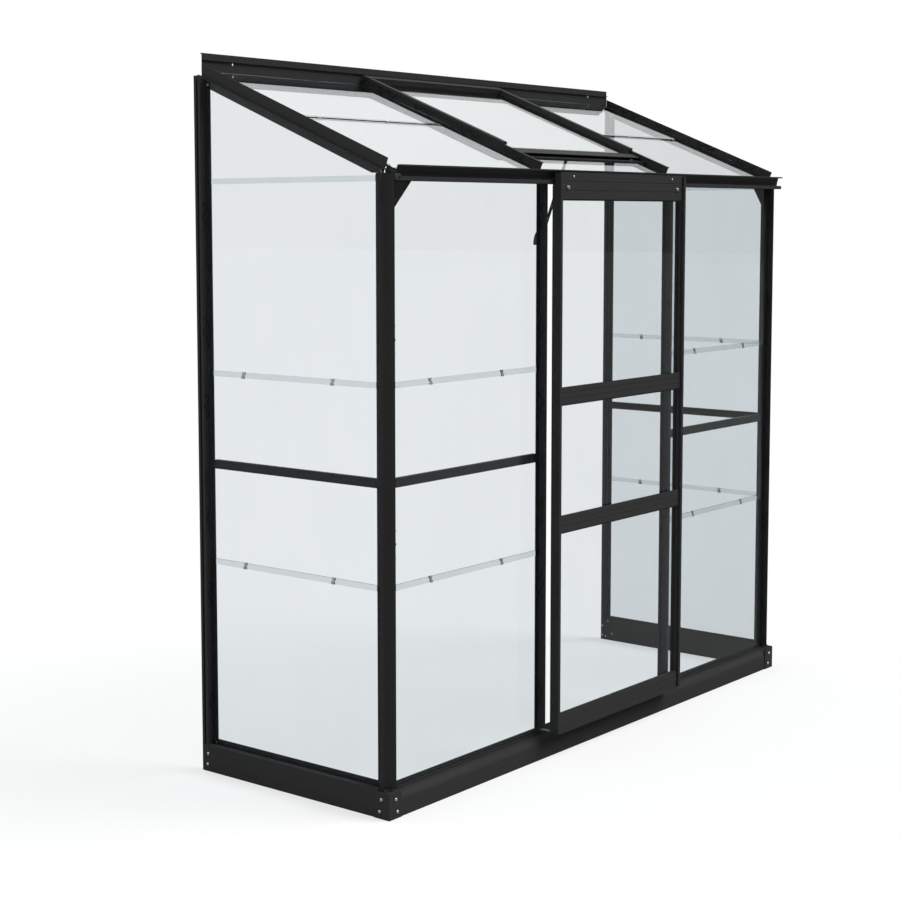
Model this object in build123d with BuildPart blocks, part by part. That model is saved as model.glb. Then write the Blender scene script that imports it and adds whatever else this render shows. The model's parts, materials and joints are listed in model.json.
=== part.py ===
"""Lean-to glass greenhouse, three bays long, with a sliding door in the middle bay and a roof vent.

Black aluminium extrusions stand on a sill frame against a wall, and lapped panes of glass close
the front, the two sides and the roof. The long front faces -Y, the wall side is +Y, +X runs along
the wall and +Z is up. The origin is the centre of the outer box, on the ground. Lengths are in mm.
"""

import os
from math import asin, cos, radians, sin, tan

from build123d import *

os.makedirs("parts", exist_ok=True)

# Overall sizes
base_width = 1930.0  # outside of the sills, along the wall
base_depth = 648.0  # front of the sill to the wall
eave_top = 1584.6  # top of the eave beam above the ground
roof_pitch = 22.1  # degrees
bar_pitch = 630.0  # middle bay, between the centres of its two glazing bars

# Sheet, glass and clearances
skin = 2.0  # wall of every extrusion
glass = 3.0
butt_gap = 0.2  # where two fixed members meet
glass_gap = 0.3  # between glass and what it rests on
edge_gap = 2.5  # between a pane's edge and the stem beside it
overrun = 10.0  # how far a cut runs past the piece

# Panes
pane_height = 508.0
pane_lap = 14.0
glass_foot = 64.0  # lower edge of the lowest panes above the ground
roof_lap_rise = 325.0  # lower edge of the upper roof pane, up the slope
front_seat = 23.0  # plane that the front glass lies on, behind the sill's front face
side_seat = 21.5  # plane that the side glass lies on, behind the sill's side face

# Sills
sill_ledge = 72.0
pocket_floor = 60.0  # the lowest panes stand in a pocket of this height
pocket_width = 5.5
front_sill_depth = 36.0
front_flange_top = 83.0
side_flange_top = 86.0
nose_foot = 41.0  # where the front face starts to curve back
nose_top = 66.0
nose_curve = 11.0  # reach of the curve's two handles
nose_set_back = 10.0
groove_width = 3.5  # the door's guides run in this groove
groove_floor = 58.0

# Corner brackets on the sills
bracket_leg = 48.0
bracket_height = 68.0
bracket_round = 14.0

# Glazing bars, used as door posts and roof bars
bar_flange = 24.0
bar_stem = 23.0
bar_web = 3.0
bar_head_width = 11.0
bar_head = 3.0
bar_round = 1.0  # outer edges of the head
bar_channel_width = 13.0
bar_channel_depth = 5.0
bar_channel_mouth = 6.0

# Corner posts: a hollow quarter-round cap with a flange along each side of it
cap_set_in = 2.0  # from the sills' faces
cap_radius = 28.0
corner_flange = 23.0  # beyond the cap
corner_post_drop = 18.8  # top of the post, below the eave's top

# Wall posts
wall_post_depth = 38.0
wall_post_rib = 8.0
wall_post_groove = 6.0
wall_post_groove_depth = 12.0
wall_post_channel = 6.0
wall_post_channel_width = 16.0
wall_post_channel_mouth = 7.0

# Eave beam, with the door's roller track in its front
eave_height = 37.6
eave_inset = 27.0  # its ends, from the outside of the sills
eave_reach = 25.0  # front of its top, ahead of the sill's front face
eave_web_top = 12.0  # front of the curved web at its top, ahead of the sill's front face
eave_web_foot = 5.0
eave_web_hollow = 2.0  # how far the web curves back between its ends
track_reach = 21.0  # front of the track, ahead of the sill's front face
track_rim = 10.0
eave_top_lip = 4.0
gutter_drop = 25.0  # gutter floor, below the eave's top
eave_back_drop = 8.0  # top of the flange behind the gutter, below the eave's top

# Roof
rafter_foot = 27.3  # foot of the roof's datum slope, behind the sill's front face
rafter_foot_drop = 13.5  # that foot, below the eave's top
roof_seat = 12.0  # plane that the roof glass lies on, above the datum slope
gable_fin = 31.7  # top of the gable rafter's web, above the datum slope
gable_skirt = 19.0  # foot of that web, below the datum slope
gable_lip = 9.5  # ledge over the side glass
gable_lip_lift = 0.7
gable_flange = 16.5  # under the edge of the roof glass

# Wall plate
plate_inset = 24.0  # its ends, from the outside of the sills
plate_height = 69.0
plate_thickness = 7.0
plate_drop = 7.3  # its lower edge, below the datum slope
plate_lip = 5.0
plate_hole = 6.0  # diameter of the wall fixing holes
plate_hole_inset = 111.0  # from the plate's ends
plate_hole_spacing_z = 34.0
plate_hole_rise = 12.0  # lower holes, above the plate's lower edge

# Rails behind the glass
rail_foot = 809.0
rail_height = 23.0
rail_depth = 12.0

# Eave gussets
gusset_leg = 108.0

# Vent
vent_foot_rise = 137.0  # lower ends of the stiles, up the slope
vent_rail = 22.0
vent_rail_lift = 23.0  # underside of the rails, above the datum slope
vent_nose_rise = 97.5  # lower edge of the bottom rail's nose
vent_nose = 29.5
vent_nose_step = 2.5  # top of the nose, above the flange under the pane
vent_rail_gap = 1.0  # between the bottom rail's ends and the glazing bars
vent_cap = 6.0  # height of the stiles over the glazing bars
vent_cap_out = 5.0  # from the bar's centre towards the side bay
vent_cap_in = 13.0  # from the bar's centre towards the middle bay
vent_leg = 6.5  # width of the stile's leg beside the bar
vent_slot_depth = 3.5
slam_bar_rise = 76.0
slam_bar_width = 56.0
slam_bar_height = 7.5
slam_bar_lap = 22.0  # over the pane below it
slam_bar_stop = 43.0  # from its front to the upstand that the vent closes on

# Vent stay
stay_width = 12.0
stay_thickness = 2.5
stay_reach = 100.0  # how far it leans towards the wall
stay_drop = 265.0
stay_hook = 16.0
stay_bend = 5.0
stay_hole = 5.0
stay_hole_count = 5
stay_hole_spacing = 38.0

# Door
door_standoff = 18.3  # back of the door, ahead of the sill's front face
stile_width = 15.0
stile_depth = 27.3
stile_lip = 9.5
stile_lip_height = 7.6
stile_slot_depth = 5.5
stile_slot_set_back = 7.0
stile_pocket = 5.0
door_foot = 78.0
door_head_gap = 5.0  # from the door to the eave and its track
door_rail_side_gap = 0.5
door_top_rail_foot = 1507.0
door_top_rail_height = 71.0
upper_transom_foot = 964.0
lower_transom_foot = 620.0
transom_height = 47.0
door_bottom_rail_foot = 70.0
door_bottom_rail_height = 55.0
door_web_height = 27.0
door_web_depth = 16.0
door_top_web_set_in = 8.0
door_bottom_web_set_in = 8.0
face_groove = 1.6
face_groove_depth = 0.8

# Rollers and guides
roller_radius = 9.5  # at the bottom of its groove
roller_flange = 2.0
roller_width = 8.0
roller_groove = 3.2
roller_hub_radius = 5.0
roller_gap = 0.3  # between the wheel and the rim it runs on
roller_spacing = 496.0
guide_width = 14.0
guide_thickness = 4.2
guide_tooth = 2.1
guide_drop = 11.0
guide_gap = 0.3

# Places worked out from those sizes
half_width = base_width / 2
door_projection = door_standoff + stile_depth
front_y = -(base_depth - door_projection) / 2
wall_y = front_y + base_depth
pitch = radians(roof_pitch)
flange_thickness = skin - butt_gap
lap_step = glass + glass_gap
course = pane_height - pane_lap

eave_bottom = eave_top - eave_height
gutter_floor = eave_top - gutter_drop
eave_web_back = skin - eave_web_foot
track_rim_top = eave_bottom + track_rim
eave_length = base_width - 2 * eave_inset

foot_z = eave_top - rafter_foot_drop
plate_front = base_depth - plate_thickness
bar_lift = roof_seat - skin - bar_channel_depth
rafter_length = (plate_front - butt_gap - rafter_foot + bar_lift * sin(pitch)) / cos(pitch)
stem_lift = roof_seat + bar_stem

door_half = bar_pitch / 2
door_front_y = front_y - door_projection
rail_front_y = door_front_y + stile_lip_height - skin
stile_top = eave_bottom - door_head_gap

cap_end = cap_set_in + cap_radius
corner_end = cap_end + corner_flange
corner_post_top = eave_top - corner_post_drop
wall_post_stem = 2 * wall_post_rib + wall_post_groove


def save(piece, name):
    """Label a piece and write it as its own STEP file."""
    piece.part.label = name
    export_step(piece.part, f"parts/{name}.step")


def save_pair(piece, name):
    """Write a left-hand piece, and its mirror image as the right-hand one."""
    save(piece, f"left_{name}")
    with BuildPart() as twin:
        mirror(piece.part, about=Plane.YZ)
    save(twin, f"right_{name}")


def strip(x0, x1, y0, y1, mode=Mode.ADD):
    """Draw a rectangle between two corners in the open sketch."""
    with Locations(((x0 + x1) / 2, (y0 + y1) / 2)):
        Rectangle(x1 - x0, y1 - y0, mode=mode)


def upright_plane(height):
    """Plan view at a height, measured from the left front corner of the sills."""
    return Plane(origin=(-half_width, front_y, height))


def along_plane(x):
    """Section at X, measured back from the sill's front face and up from the ground."""
    return Plane(origin=(x, front_y, 0), x_dir=(0, 1, 0), z_dir=(1, 0, 0))


def side_plane(y):
    """Section of a member on the left side, measured in from the sill's side face."""
    return Plane(origin=(-half_width, y, 0), x_dir=(1, 0, 0), z_dir=(0, -1, 0))


def roof_point(x, rise, lift):
    """Point at X, a distance up the slope and a distance above the datum slope."""
    y = front_y + rafter_foot + rise * cos(pitch) - lift * sin(pitch)
    z = foot_z + rise * sin(pitch) + lift * cos(pitch)
    return (x, y, z)


def roof_section(x, rise, lift):
    """Section across the slope that looks up it: local x is -X and local y stands off the roof."""
    return Plane(origin=roof_point(x, rise, lift), x_dir=(-1, 0, 0), z_dir=(0, cos(pitch), sin(pitch)))


def roof_face(x, rise, lift):
    """Plane of the roof: local x is +X and local y runs up the slope."""
    return Plane(origin=roof_point(x, rise, lift), x_dir=(1, 0, 0), z_dir=(0, -sin(pitch), cos(pitch)))


def slope_section(x):
    """Section at X along the roof: local x runs up the slope and local y stands off the roof."""
    return Plane(origin=roof_point(x, 0, 0), x_dir=(0, cos(pitch), sin(pitch)), z_dir=(1, 0, 0))


def lapped(face, head, height):
    """Plane of a pane whose head lies on a face and whose foot stands out over the pane below."""
    tilt = asin(lap_step / height)
    outward = face.z_dir * cos(tilt) + face.y_dir * sin(tilt)
    return Plane(origin=face.from_local_coords((0, head, 0)), x_dir=face.x_dir, z_dir=outward)


def bar_stem_profile():
    """Web that stands between two panes, with a rounded head across its outer edge."""
    with Locations((0, bar_stem - bar_head / 2)):
        RectangleRounded(bar_head_width, bar_head, bar_round)
    strip(-bar_web / 2, bar_web / 2, 0, bar_stem - bar_head / 2)


def bar_flange_profile():
    """Flange that the glass lies on."""
    strip(-bar_flange / 2, bar_flange / 2, -skin, 0)


def channel_profile(width, depth, mouth):
    """Bolt channel below y = -skin, open downwards through a narrower mouth."""
    strip(-width / 2, width / 2, -skin - depth, -skin)
    strip(-width / 2 + skin, width / 2 - skin, -depth, -skin, Mode.SUBTRACT)
    strip(-mouth / 2, mouth / 2, -skin - depth, -depth, Mode.SUBTRACT)


# Front sill
groove_front = nose_set_back + skin
groove_back = groove_front + groove_width
with BuildPart() as front_sill:
    with BuildSketch(along_plane(-half_width)):
        with BuildLine():
            Polyline((front_sill_depth, 0), (0, 0), (0, nose_foot))
            Bezier(
                (0, nose_foot),
                (0, nose_foot + nose_curve),
                (nose_set_back, nose_top - nose_curve),
                (nose_set_back, nose_top),
            )
            Polyline(
                (nose_set_back, nose_top),
                (groove_front, nose_top),
                (groove_front, groove_floor),
                (groove_back, groove_floor),
                (groove_back, sill_ledge),
                (groove_back + skin, sill_ledge),
                (groove_back + skin, pocket_floor),
                (front_sill_depth, pocket_floor),
                (front_sill_depth, 0),
            )
        make_face()
        Polygon(
            (skin, skin),
            (skin, nose_foot),
            (nose_set_back / 2 + skin, groove_floor - skin),
            (front_sill_depth - skin, groove_floor - skin),
            (front_sill_depth - skin, skin),
            align=None,
            mode=Mode.SUBTRACT,
        )
    extrude(amount=base_width)
    with BuildSketch(along_plane(-half_width + corner_end + butt_gap)):
        strip(front_seat, front_seat + flange_thickness, pocket_floor, front_flange_top)
    extrude(amount=base_width - 2 * (corner_end + butt_gap))
save(front_sill, "front_sill")

# Side sills
with BuildPart() as side_sill:
    with BuildSketch(side_plane(wall_y)):
        strip(0, side_seat + skin, 0, sill_ledge)
        strip(skin, side_seat, skin, pocket_floor - skin, Mode.SUBTRACT)
        strip(skin, side_seat - pocket_width - skin, pocket_floor - skin, sill_ledge - skin, Mode.SUBTRACT)
        strip(side_seat - pocket_width, side_seat, pocket_floor, sill_ledge, Mode.SUBTRACT)
    extrude(amount=base_depth - front_sill_depth - butt_gap)
    with BuildSketch(side_plane(wall_y - wall_post_depth - butt_gap)):
        strip(side_seat, side_seat + skin, sill_ledge, side_flange_top)
    extrude(amount=base_depth - wall_post_depth - corner_end - 2 * butt_gap)
save_pair(side_sill, "sill")

# Brackets bent round the two front corners of the sills
with BuildPart() as sill_corner_brackets:
    for face, thickness in (
        (along_plane(-half_width), -skin),
        (Plane(origin=(-half_width - skin, front_y, 0), x_dir=(1, 0, 0), z_dir=(0, -1, 0)), skin),
    ):
        with BuildSketch(face):
            strip(0, bracket_leg, 0, bracket_height)
            fillet(vertices().group_by(Axis.X)[-1].sort_by(Axis.Y)[-1], bracket_round)
        extrude(amount=thickness)
    mirror(about=Plane.YZ)
save(sill_corner_brackets, "sill_corner_brackets")

# Corner posts
with BuildPart() as corner_post:
    with BuildSketch(upright_plane(sill_ledge + butt_gap)):
        with BuildLine():
            Polyline((cap_end, cap_set_in), (cap_end, cap_end), (cap_set_in, cap_end))
            RadiusArc((cap_set_in, cap_end), (cap_end, cap_set_in), cap_radius)
        make_face()
        offset(amount=-skin, mode=Mode.SUBTRACT)
        strip(side_seat, side_seat + skin, cap_end, corner_end)
    extrude(amount=corner_post_top - sill_ledge - butt_gap)
    with BuildSketch(upright_plane(sill_ledge + butt_gap)):
        strip(cap_end, corner_end, front_seat, front_seat + skin)
    extrude(amount=eave_bottom - sill_ledge - 2 * butt_gap)
save_pair(corner_post, "corner_post")

# Wall posts: two ribs up to the gable rafter's ledge, and a flange with a bolt channel below its web
wall_post_foot = sill_ledge + butt_gap
wall_post_run = base_depth - wall_post_depth - rafter_foot
wall_post_top = foot_z + wall_post_run * tan(pitch) - gable_skirt / cos(pitch) - butt_gap
wall_post_plane = Plane(origin=(-half_width, wall_y, wall_post_foot), x_dir=(0, -1, 0), z_dir=(0, 0, 1))
with BuildPart() as wall_post:
    with BuildSketch(wall_post_plane):
        for rib in (0, wall_post_rib + wall_post_groove):
            strip(rib, rib + wall_post_rib, 0, side_seat)
            strip(rib + skin, rib + wall_post_rib - skin, skin, side_seat - skin, Mode.SUBTRACT)
        strip(wall_post_rib, wall_post_rib + wall_post_groove, wall_post_groove_depth, side_seat - butt_gap)
    extrude(amount=foot_z + base_depth * tan(pitch) - wall_post_foot)
    split(bisect_by=roof_face(0, 0, gable_lip_lift - butt_gap), keep=Keep.BOTTOM)
    with BuildSketch(wall_post_plane):
        strip(0, wall_post_depth, side_seat, side_seat + skin)
        channel_x = wall_post_depth / 2
        channel_y = side_seat + skin
        strip(
            channel_x - wall_post_channel_width / 2,
            channel_x + wall_post_channel_width / 2,
            channel_y,
            channel_y + wall_post_channel,
        )
        strip(
            channel_x - wall_post_channel_width / 2 + skin,
            channel_x + wall_post_channel_width / 2 - skin,
            channel_y,
            channel_y + wall_post_channel - skin,
            Mode.SUBTRACT,
        )
        strip(
            channel_x - wall_post_channel_mouth / 2,
            channel_x + wall_post_channel_mouth / 2,
            channel_y + wall_post_channel - skin,
            channel_y + wall_post_channel,
            Mode.SUBTRACT,
        )
    extrude(amount=wall_post_top - wall_post_foot)
save_pair(wall_post, "wall_post")

# Door posts: glazing bars whose flanges end under the eave and whose channels stand on the sill
with BuildPart() as door_post:
    post_plane = Plane(origin=(-door_half, front_y + front_seat, 0), x_dir=(-1, 0, 0), z_dir=(0, 0, 1))
    post_foot = front_flange_top + butt_gap
    with BuildSketch(post_plane.offset(post_foot)):
        bar_flange_profile()
    extrude(amount=eave_bottom - post_foot - butt_gap)
    with BuildSketch(post_plane.offset(post_foot)):
        bar_stem_profile()
    extrude(amount=gutter_floor - skin - post_foot - butt_gap)
    channel_foot = pocket_floor + butt_gap
    with BuildSketch(post_plane.offset(channel_foot)):
        channel_profile(bar_channel_width, bar_channel_depth, bar_channel_mouth)
    extrude(amount=roof_point(0, 0, bar_lift)[2] - butt_gap - channel_foot)
save_pair(door_post, "door_post")

# Eave beam: a roller track in front of a curved web, and a gutter behind it
web_foot = (-eave_web_foot, eave_bottom)
web_middle = (eave_web_hollow - (eave_web_foot + eave_web_top) / 2, (eave_bottom + eave_top) / 2)
web_head = (-eave_web_top, eave_top)
with BuildPart() as eave_beam:
    with BuildSketch(along_plane(-half_width + eave_inset)):
        with BuildLine():
            ThreePointArc(web_foot, web_middle, web_head)
            Line(web_head, (web_head[0] + skin, web_head[1]))
            ThreePointArc(
                (web_head[0] + skin, web_head[1]),
                (web_middle[0] + skin, web_middle[1]),
                (web_foot[0] + skin, web_foot[1]),
            )
            Line((web_foot[0] + skin, web_foot[1]), web_foot)
        make_face()
        strip(-track_reach, -eave_web_foot + skin, eave_bottom, eave_bottom + skin)
        strip(-track_reach, -track_reach + skin, eave_bottom, track_rim_top)
        strip(-eave_reach, -eave_web_top + skin, eave_top - skin, eave_top)
        strip(-eave_reach, -eave_reach + skin, eave_top - eave_top_lip, eave_top)
    extrude(amount=eave_length)
    with BuildSketch(along_plane(-half_width + cap_end + butt_gap)):
        strip(-eave_web_foot, front_seat + flange_thickness, gutter_floor - skin, gutter_floor)
        strip(front_seat, front_seat + flange_thickness, eave_bottom, eave_top - eave_back_drop)
    extrude(amount=base_width - 2 * (cap_end + butt_gap))
save(eave_beam, "eave_beam")

# Eave gussets, behind the corner posts and the eave
gusset_y = front_y + front_seat + skin + butt_gap
gusset_plane = Plane(
    origin=(-half_width + cap_end + butt_gap, gusset_y, corner_post_top),
    x_dir=(1, 0, 0),
    z_dir=(0, -1, 0),
)
with BuildPart() as eave_gussets:
    with BuildSketch(gusset_plane):
        Polygon((0, 0), (gusset_leg, 0), (0, -gusset_leg), align=None)
    extrude(amount=-skin)
    mirror(about=Plane.YZ)
save(eave_gussets, "eave_gussets")

# Gable rafters: an upright web with a ledge over the side glass and a flange under the roof glass
gable_length = rafter_length + gable_fin + overrun
rafter_stop = Plane(origin=(0, front_y + plate_front - butt_gap, 0), z_dir=(0, 1, 0))
with BuildPart() as gable_rafter:
    with BuildSketch(roof_section(-half_width, 0, 0)):
        strip(-side_seat - skin - gable_flange, -side_seat - skin, roof_seat - skin, roof_seat)
        strip(-side_seat - skin, -side_seat, gable_lip_lift + skin, gable_fin)
    extrude(amount=gable_length)
    split(bisect_by=rafter_stop, keep=Keep.BOTTOM)
    with BuildSketch(roof_section(-half_width, 0, 0)):
        strip(-side_seat - skin, -side_seat, -gable_skirt, gable_lip_lift + skin)
        strip(-side_seat, -side_seat + gable_lip, gable_lip_lift, gable_lip_lift + skin)
    extrude(amount=gable_length)
    split(bisect_by=Plane(origin=(0, wall_y, 0), z_dir=(0, 1, 0)), keep=Keep.BOTTOM)
    split(bisect_by=Plane(origin=(0, 0, corner_post_top + butt_gap)), keep=Keep.TOP)
save_pair(gable_rafter, "gable_rafter")

# Roof bars
with BuildPart() as roof_bar:
    with BuildSketch(roof_section(-door_half, 0, roof_seat)):
        bar_flange_profile()
        bar_stem_profile()
        channel_profile(bar_channel_width, bar_channel_depth, bar_channel_mouth)
    extrude(amount=rafter_length)
save_pair(roof_bar, "roof_bar")

# Vent places, up the slope and above the datum slope
vent_cap_lift = stem_lift + butt_gap
vent_top_lift = vent_cap_lift + vent_cap
vent_slot = vent_rail_lift + skin
vent_nose_top = vent_slot + vent_nose_step
vent_head_rise = (plate_front - butt_gap - rafter_foot + vent_rail_lift * sin(pitch)) / cos(pitch)
vent_length = vent_head_rise - vent_foot_rise
vent_half = door_half - vent_cap_in
vent_top_z = roof_point(0, vent_head_rise, vent_top_lift)[2]

# Wall plate, with a drip rib over the vent and a lip along its lower edge
plate_bottom = foot_z + (plate_front - rafter_foot) * tan(pitch) - plate_drop
plate_top = plate_bottom + plate_height
plate_width = base_width - 2 * plate_inset
with BuildPart() as wall_plate:
    with BuildSketch(along_plane(-plate_width / 2)):
        strip(plate_front, plate_front + skin, plate_bottom, plate_top)
        strip(plate_front, base_depth, plate_top - skin, plate_top)
        strip(plate_front, base_depth, plate_bottom, plate_bottom + skin)
        strip(plate_front - plate_lip, plate_front, plate_bottom, plate_bottom + skin)
        strip(plate_front - plate_lip, plate_front, vent_top_z + skin, vent_top_z + 2 * skin)
    extrude(amount=plate_width)
    hole_z = plate_bottom + plate_hole_rise + plate_hole_spacing_z / 2
    with Locations(Plane(origin=(0, front_y + plate_front, hole_z), x_dir=(1, 0, 0), z_dir=(0, -1, 0))):
        with GridLocations(plate_width - 2 * plate_hole_inset, plate_hole_spacing_z, 2, 2):
            Hole(radius=plate_hole / 2, depth=skin)
save(wall_plate, "wall_plate")

# Rails behind the glass, across the two sides and the two front bays
side_rail_length = base_depth - wall_post_depth - corner_end - 2 * butt_gap
with BuildPart() as side_rail:
    with BuildSketch(side_plane(wall_y - wall_post_depth - butt_gap)):
        strip(side_seat, side_seat + rail_depth, rail_foot, rail_foot + rail_height)
        strip(
            side_seat + skin,
            side_seat + rail_depth,
            rail_foot + skin,
            rail_foot + rail_height - skin,
            Mode.SUBTRACT,
        )
    extrude(amount=side_rail_length)
save_pair(side_rail, "side_rail")

front_rail_start = -half_width + corner_end + butt_gap
front_rail_end = -door_half - bar_flange / 2 - butt_gap
with BuildPart() as front_rail:
    with BuildSketch(along_plane(front_rail_start)):
        strip(front_seat, front_seat + rail_depth, rail_foot, rail_foot + rail_height)
        strip(
            front_seat + skin,
            front_seat + rail_depth,
            rail_foot + skin,
            rail_foot + rail_height - skin,
            Mode.SUBTRACT,
        )
    extrude(amount=front_rail_end - front_rail_start)
save_pair(front_rail, "front_rail")

# Front panes, in courses up to the eave
front_pane_start = -half_width + cap_end + edge_gap
front_pane_end = -door_half - bar_web / 2 - edge_gap
front_pane_width = front_pane_end - front_pane_start
front_pane_x = (front_pane_start + front_pane_end) / 2
front_glass_top = eave_bottom + (gutter_floor - skin - eave_bottom) / 2
front_courses = int((front_glass_top - glass_foot - pane_lap) / course) + 1
front_face = Plane(origin=(front_pane_x, front_y + front_seat, 0), x_dir=(1, 0, 0), z_dir=(0, -1, 0))
with BuildPart() as front_panes:
    with BuildSketch(front_face):
        strip(-front_pane_width / 2, front_pane_width / 2, glass_foot, glass_foot + pane_height)
    extrude(amount=glass)
    for number in range(1, front_courses):
        foot = glass_foot + number * course
        height = min(pane_height, front_glass_top - foot)
        with BuildSketch(lapped(front_face, foot + height, height)):
            strip(-front_pane_width / 2, front_pane_width / 2, -height, 0)
        extrude(amount=glass)
save_pair(front_panes, "front_panes")

# Side panes, in whole courses and one cut to the rafter
side_pane_start = wall_post_stem + edge_gap
side_pane_end = base_depth - cap_end - edge_gap
side_face = Plane(origin=(-half_width + side_seat, wall_y, 0), x_dir=(0, -1, 0), z_dir=(-1, 0, 0))


def side_glass_top(from_wall):
    """Height of the side glass's sloping edge, just under the gable rafter's ledge."""
    run = base_depth - from_wall - rafter_foot
    return foot_z + run * tan(pitch) + (gable_lip_lift - glass_gap) / cos(pitch)


back_head = side_glass_top(side_pane_start)
front_head = side_glass_top(side_pane_end)
side_courses = int((front_head - glass_foot - pane_lap) / course)
with BuildPart() as side_panes:
    with BuildSketch(side_face):
        strip(side_pane_start, side_pane_end, glass_foot, glass_foot + pane_height)
    extrude(amount=glass)
    for number in range(1, side_courses):
        foot = glass_foot + number * course
        with BuildSketch(lapped(side_face, foot + pane_height, pane_height)):
            strip(side_pane_start, side_pane_end, -pane_height, 0)
        extrude(amount=glass)
    top_foot = glass_foot + side_courses * course
    with BuildSketch(lapped(side_face, back_head, back_head - top_foot)):
        Polygon(
            (side_pane_start, top_foot - back_head),
            (side_pane_end, top_foot - back_head),
            (side_pane_end, front_head - back_head),
            (side_pane_start, 0),
            align=None,
        )
    extrude(amount=glass)
save_pair(side_panes, "side_panes")

# Roof panes: the lower one reaches over the gutter to the eave's web, the upper one laps over it
roof_glass_foot = (
    eave_web_back + glass_gap - rafter_foot + (roof_seat + glass) * sin(pitch)
) / cos(pitch)
roof_pane_start = -half_width + side_seat + skin + edge_gap
roof_pane_width = front_pane_end - roof_pane_start
roof_bay_face = roof_face((roof_pane_start + front_pane_end) / 2, 0, roof_seat)
upper_pane_height = rafter_length - roof_lap_rise
with BuildPart() as roof_panes:
    with BuildSketch(roof_bay_face):
        strip(-roof_pane_width / 2, roof_pane_width / 2, roof_glass_foot, roof_lap_rise + pane_lap)
    extrude(amount=glass)
    with BuildSketch(lapped(roof_bay_face, rafter_length, upper_pane_height)):
        strip(-roof_pane_width / 2, roof_pane_width / 2, -upper_pane_height, 0)
    extrude(amount=glass)
save_pair(roof_panes, "roof_panes")

middle_pane_half = (bar_pitch - bar_web) / 2 - edge_gap
middle_pane_head = slam_bar_rise + slam_bar_lap - glass_gap
with BuildPart() as middle_roof_pane:
    with BuildSketch(roof_face(0, 0, roof_seat)):
        strip(-middle_pane_half, middle_pane_half, roof_glass_foot, middle_pane_head)
    extrude(amount=glass)
save(middle_roof_pane, "middle_roof_pane")

# Slam bar, across the middle bay: a front lip, a plate over the pane below and an upstand for the vent
slam_bar_length = bar_pitch - bar_web - 2 * butt_gap
slam_bar_lift = roof_seat + glass + glass_gap
slam_stop_rise = slam_bar_rise + slam_bar_stop
with BuildPart() as vent_slam_bar:
    with BuildSketch(slope_section(-slam_bar_length / 2)):
        strip(slam_bar_rise, slam_bar_rise + slam_bar_width, slam_bar_lift, slam_bar_lift + skin)
        strip(slam_bar_rise, slam_bar_rise + skin, slam_bar_lift, slam_bar_lift + slam_bar_height)
        strip(slam_stop_rise, slam_stop_rise + skin, slam_bar_lift, vent_nose_top - skin - glass_gap)
        strip(
            slam_bar_rise + slam_bar_lap,
            slam_bar_rise + slam_bar_lap + skin,
            roof_seat + butt_gap,
            slam_bar_lift,
        )
    extrude(amount=slam_bar_length)
save(vent_slam_bar, "vent_slam_bar")

# Vent frame: slotted stiles that cap the glazing bars, a nosed bottom rail and a slotted top rail
slot_height = glass + 2 * glass_gap
with BuildPart() as vent_stile:
    with BuildSketch(roof_section(-door_half, vent_foot_rise, 0)):
        strip(-vent_cap_in, vent_cap_out, vent_cap_lift, vent_top_lift)
        strip(-vent_cap_in, -vent_cap_in + vent_leg, vent_rail_lift, vent_cap_lift)
        strip(-vent_cap_in, -vent_cap_in + vent_slot_depth, vent_slot, vent_slot + slot_height, Mode.SUBTRACT)
    extrude(amount=vent_length)
save_pair(vent_stile, "vent_stile")

vent_step_rise = vent_nose_rise + vent_nose
vent_bottom_half = door_half - bar_web / 2 - vent_rail_gap
with BuildPart() as vent_bottom_rail:
    with BuildSketch(slope_section(-vent_bottom_half)):
        strip(vent_nose_rise, vent_step_rise, vent_nose_top - skin, vent_nose_top)
        strip(vent_step_rise - skin, vent_step_rise, vent_rail_lift, vent_nose_top)
        strip(vent_step_rise - skin, vent_foot_rise - butt_gap, vent_rail_lift, vent_slot)
    extrude(amount=2 * vent_bottom_half)
save(vent_bottom_rail, "vent_bottom_rail")

vent_rail_half = vent_half - butt_gap
vent_top_rail_rise = vent_head_rise - vent_rail
vent_hollow_rise = vent_top_rail_rise + vent_slot_depth + skin
with BuildPart() as vent_top_rail:
    with BuildSketch(slope_section(-vent_rail_half)):
        strip(vent_top_rail_rise, vent_head_rise, vent_rail_lift, vent_top_lift)
        strip(
            vent_top_rail_rise,
            vent_top_rail_rise + vent_slot_depth,
            vent_slot,
            vent_slot + slot_height,
            Mode.SUBTRACT,
        )
        strip(
            vent_hollow_rise,
            vent_head_rise - skin,
            vent_rail_lift + skin,
            vent_top_lift - skin,
            Mode.SUBTRACT,
        )
    extrude(amount=2 * vent_rail_half)
save(vent_top_rail, "vent_top_rail")

vent_pane_inset = vent_slot_depth - glass_gap
vent_pane_half = vent_half + vent_pane_inset
with BuildPart() as vent_pane:
    with BuildSketch(roof_face(0, 0, vent_slot + glass_gap)):
        strip(
            -vent_pane_half,
            vent_pane_half,
            vent_step_rise + glass_gap,
            vent_top_rail_rise + vent_pane_inset,
        )
    extrude(amount=glass)
save(vent_pane, "vent_pane")

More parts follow.
